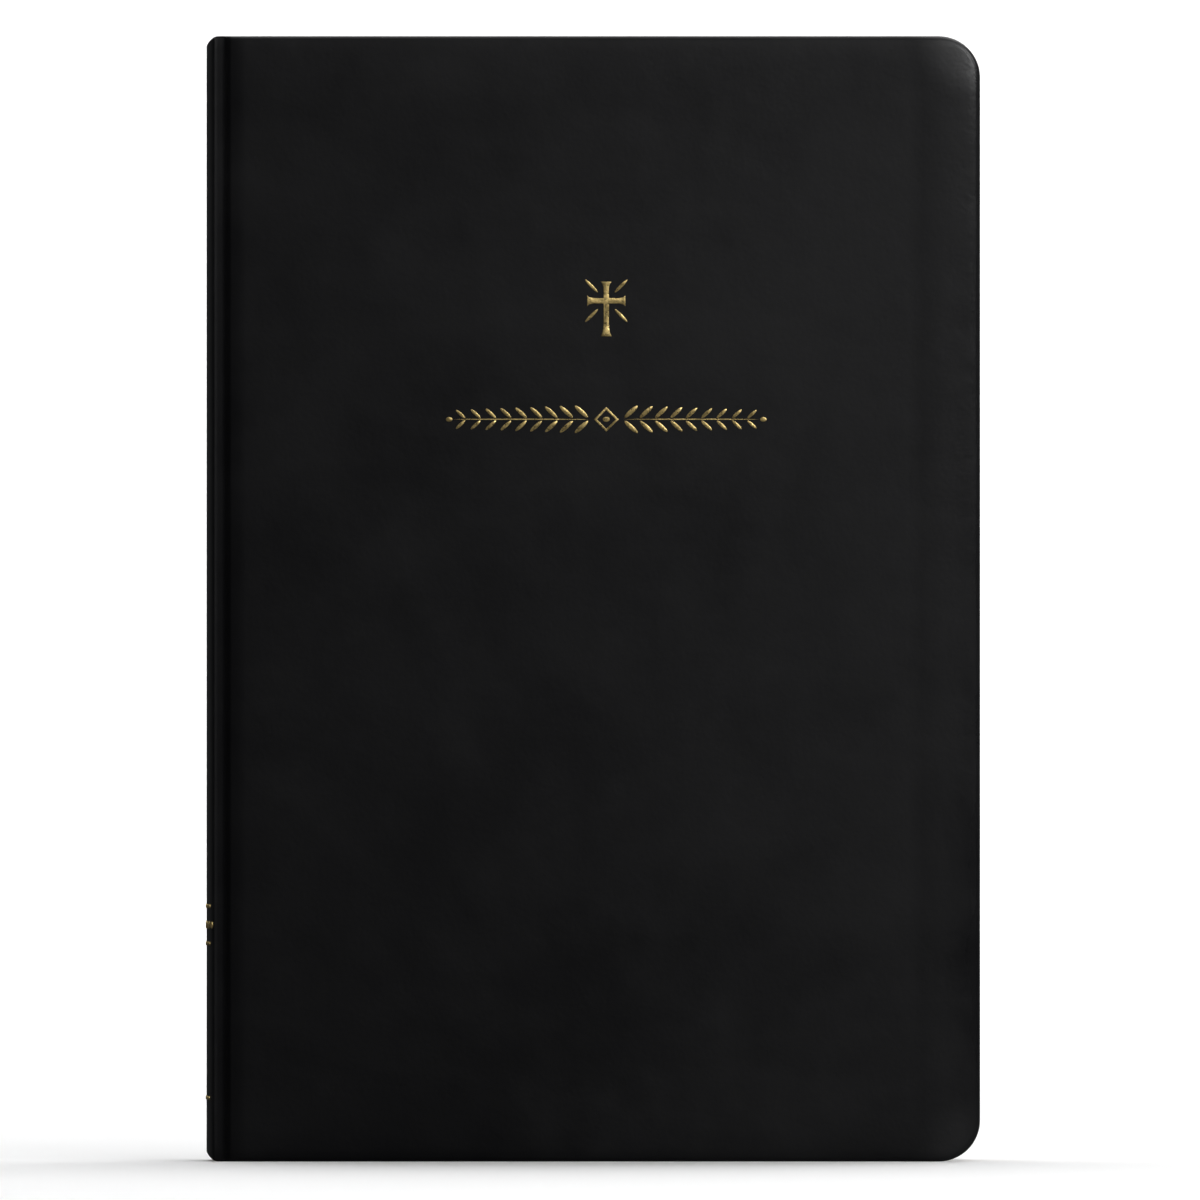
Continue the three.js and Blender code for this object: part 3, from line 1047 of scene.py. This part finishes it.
    def join(self, first, others):
        """Makes one piece of several shapes."""
        select_none()
        for obj in others:
            obj.select_set(True)
        first.select_set(True)
        bpy.context.view_layer.objects.active = first
        bpy.ops.object.join()
        return first

    def spine_rows(self):
        """Rows of small oval studs across the spine, curved round it."""
        s = sizes()
        # Each row's height above the tail in mm, its share of the half round, and its studs' size in mm.
        rows = ((53.2, 0.66, 0.8), (49.3, 0.8, 1.5), (45.4, 0.66, 0.8), (13.2, 0.62, 0.8))
        count, longer, least_width = 9, 1.3, 0.5
        crest_x = GROOVE_X - s.crest_setback
        across, out = crest_x - SPINE_X, CREST_Y
        shapes = []
        for height, reach, size in rows:
            for i in range(count):
                angle = reach * math.pi / 2 * (2 * i / (count - 1) - 1)
                y = out * math.sin(angle)
                select_none()
                bpy.ops.mesh.primitive_circle_add(
                    vertices=8, radius=0.5, fill_type="NGON", location=(0, y, TAIL_Z + height * MM),
                    rotation=(math.radians(90), 0, math.radians(90)),
                )
                width = longer * size * MM * max(least_width, math.cos(angle))
                bpy.context.object.scale = (width, size * MM, 1)
                shapes.append(settle("lozenge"))
                bpy.ops.mesh.subdivide(number_cuts=1)
                leave_edit(clean=False)
        foil = self.join(shapes[0], shapes[1:])
        foil.name = "spine_foil"

        def place(co):
            share = max(-0.999, min(0.999, co.y / out))
            co.x = crest_x - across * math.sqrt(1 - share * share) - s.foil
            return co

        shape_vertices(foil, place)
        select_only(foil)
        bpy.ops.object.mode_set(mode="EDIT")
        leave_edit()
        thicken(foil, "foil", 2 * s.foil, 0)
        smooth(foil, 40)
        return foil


class BIBLE_OT_leaves(bpy.types.Operator):
    """Models the leaves at the middle opening as thin sheets, flat but for a faint wave"""

    bl_idname = "bible.leaves"
    bl_label = "Turning leaves"

    def execute(self, context):
        material = paper_material(printed=True)
        names = sorted(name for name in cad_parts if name.startswith("centre_leaf_"))
        for i, name in enumerate(names):
            leaf = finish_piece(self.sheet(name), material)
            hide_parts(name)
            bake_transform(leaf)
        return {"FINISHED"}

    def sheet(self, name):
        """A flat sheet with round fore corners, cut most closely near the gutter."""
        s = sizes()
        curving, wave, thinned = 42 * MM, 0.02 * MM, 0.7
        low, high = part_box(name)
        middle = (low + high) / 2
        select_none()
        bpy.ops.mesh.primitive_plane_add(size=1, location=middle, rotation=UPRIGHT)
        bpy.context.object.scale = (high.x - low.x, high.z - low.z, 1)
        sheet = settle(f"{name}_sheet")
        pick("VERT", lambda v: near(v.co.x, high.x))
        bpy.ops.mesh.bevel(offset=s.corner_radius - 3 * MM, segments=8, affect="VERTICES")
        slice_grid(0, low.x, low.x + curving, 1.5 * MM)
        slice_grid(0, low.x + curving, high.x, 2 * s.panel_step)
        slice_grid(2, low.z, high.z, 3 * s.panel_step)
        leave_edit()

        def place(co):
            co.y += wave * math.sin(co.x * 70 + co.z * 26)
            return co

        shape_vertices(sheet, place)
        thicken(sheet, "paper", thinned * (high.y - low.y), 0)
        smooth(sheet, 40)
        return sheet


class BIBLE_OT_text_block(bpy.types.Operator):
    """Finishes the sections as thin printed paper with gilt edges"""

    bl_idname = "bible.text_block"
    bl_label = "Text block"

    def execute(self, context):
        sections = sorted(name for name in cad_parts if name.startswith("section_"))
        half = len(sections) // 2
        shown = sections[half - 1 : half + 1]
        dress(shown, bpy.data.materials["printed_bible_paper_gilt_edges"])
        dress([name for name in sections if name not in shown], paper_material(printed=False))
        return {"FINISHED"}


class BIBLE_OT_headbands(bpy.types.Operator):
    """Models the headband and tailband: an arc of silk bead over the folds at each end of the spine"""

    bl_idname = "bible.headbands"
    bl_label = "Headbands"

    def execute(self, context):
        material = band_material()
        for name in ("headband", "tailband"):
            band = finish_piece(self.bead(name), material)
            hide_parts(f"{name}_front", f"{name}_back")
            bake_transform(band)
        return {"FINISHED"}

    def bead(self, name):
        """A torus on the folds' own arc, trimmed to the block's thickness and fitted to its height."""
        bead_radius, inwards, fitted = 0.72 * MM, 0.6 * MM, 0.96
        low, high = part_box(f"{name}_back")
        rise = FOLD_SHOULDER_X - FOLD_X
        fold_radius = (HALF_BLOCK**2 + rise**2) / (2 * rise)
        centre_x = FOLD_X + fold_radius
        middle_z = (low.z + high.z) / 2
        radius = (high.z - low.z) / 2
        select_none()
        bpy.ops.mesh.primitive_torus_add(
            location=(centre_x, 0, middle_z),
            major_radius=fold_radius - inwards,
            minor_radius=bead_radius,
            major_segments=400,
            minor_segments=14,
        )
        band = settle(f"{name}_bead")
        taller = fitted * radius / bead_radius
        bpy.ops.transform.resize(value=(1, 1, taller), center_override=(0, 0, middle_z))
        trims = (
            ((centre_x - fold_radius / 2, 0, 0), (1, 0, 0)),
            ((0, HALF_BLOCK, 0), (0, 1, 0)),
            ((0, -HALF_BLOCK, 0), (0, -1, 0)),
        )
        for place, normal in trims:
            select_whole()
            bpy.ops.mesh.bisect(plane_co=place, plane_no=normal, clear_outer=True, use_fill=True)
        leave_edit()
        smooth(band, 50)
        return band


class BIBLE_OT_inner_pieces(bpy.types.Operator):
    """Finishes the boards, the spine's linings, the sewing thread and the ribbon marker"""

    bl_idname = "bible.inner_pieces"
    bl_label = "Inner pieces"

    def execute(self, context):
        dress(["front_board", "back_board"], fibre_material("pasted_flexible_card", "card", 1.5 * MM, 0.9))
        mull = fibre_material("starched_cotton_mull", "gauze", 1 * MM, 0.95, 0.9 * MM)
        dress(["mull_front", "mull_back"], mull)
        kraft = fibre_material("calendered_kraft_paper", "kraft", 2.5 * MM, 0.85)
        dress(["spine_liner_front", "spine_liner_back"], kraft)
        dress(["sewing_thread"], fibre_material("waxed_linen_thread", "thread", 0.4 * MM, 0.6))
        dress(["ribbon_marker"], ribbon_material())
        return {"FINISHED"}


class BIBLE_PT_panel(bpy.types.Panel):
    """Lists the pieces of the book, their sizes and their colours"""

    bl_idname = "BIBLE_PT_panel"
    bl_label = "Bible"
    bl_space_type = "VIEW_3D"
    bl_region_type = "UI"
    bl_category = "Bible"

    def draw(self, context):
        layout = self.layout
        for operator in OPERATORS:
            layout.operator(operator.bl_idname)
        for group in (context.scene.bible_sizes, context.scene.bible_colours):
            box = layout.box()
            for key in group.bl_rna.properties.keys():
                if key not in {"rna_type", "name"}:
                    box.prop(group, key)


OPERATORS = (
    BIBLE_OT_stage,
    BIBLE_OT_cover_leather,
    BIBLE_OT_spine_leather,
    BIBLE_OT_endpapers,
    BIBLE_OT_foil,
    BIBLE_OT_leaves,
    BIBLE_OT_text_block,
    BIBLE_OT_headbands,
    BIBLE_OT_inner_pieces,
)
CLASSES = (BibleSizes, BibleColours, *OPERATORS, BIBLE_PT_panel)


def register():
    for cls in CLASSES:
        bpy.utils.register_class(cls)
    bpy.types.Scene.bible_sizes = PointerProperty(type=BibleSizes)
    bpy.types.Scene.bible_colours = PointerProperty(type=BibleColours)


def unregister():
    del bpy.types.Scene.bible_colours
    del bpy.types.Scene.bible_sizes
    for cls in reversed(CLASSES):
        bpy.utils.unregister_class(cls)


def main():
    """Builds the stage and every piece."""
    register()
    bpy.ops.bible.stage()
    bpy.ops.bible.cover_leather()
    bpy.ops.bible.spine_leather()
    bpy.ops.bible.endpapers()
    bpy.ops.bible.foil()
    bpy.ops.bible.leaves()
    bpy.ops.bible.text_block()
    bpy.ops.bible.headbands()
    bpy.ops.bible.inner_pieces()
    select_none()


if __name__ == "__main__":
    main()
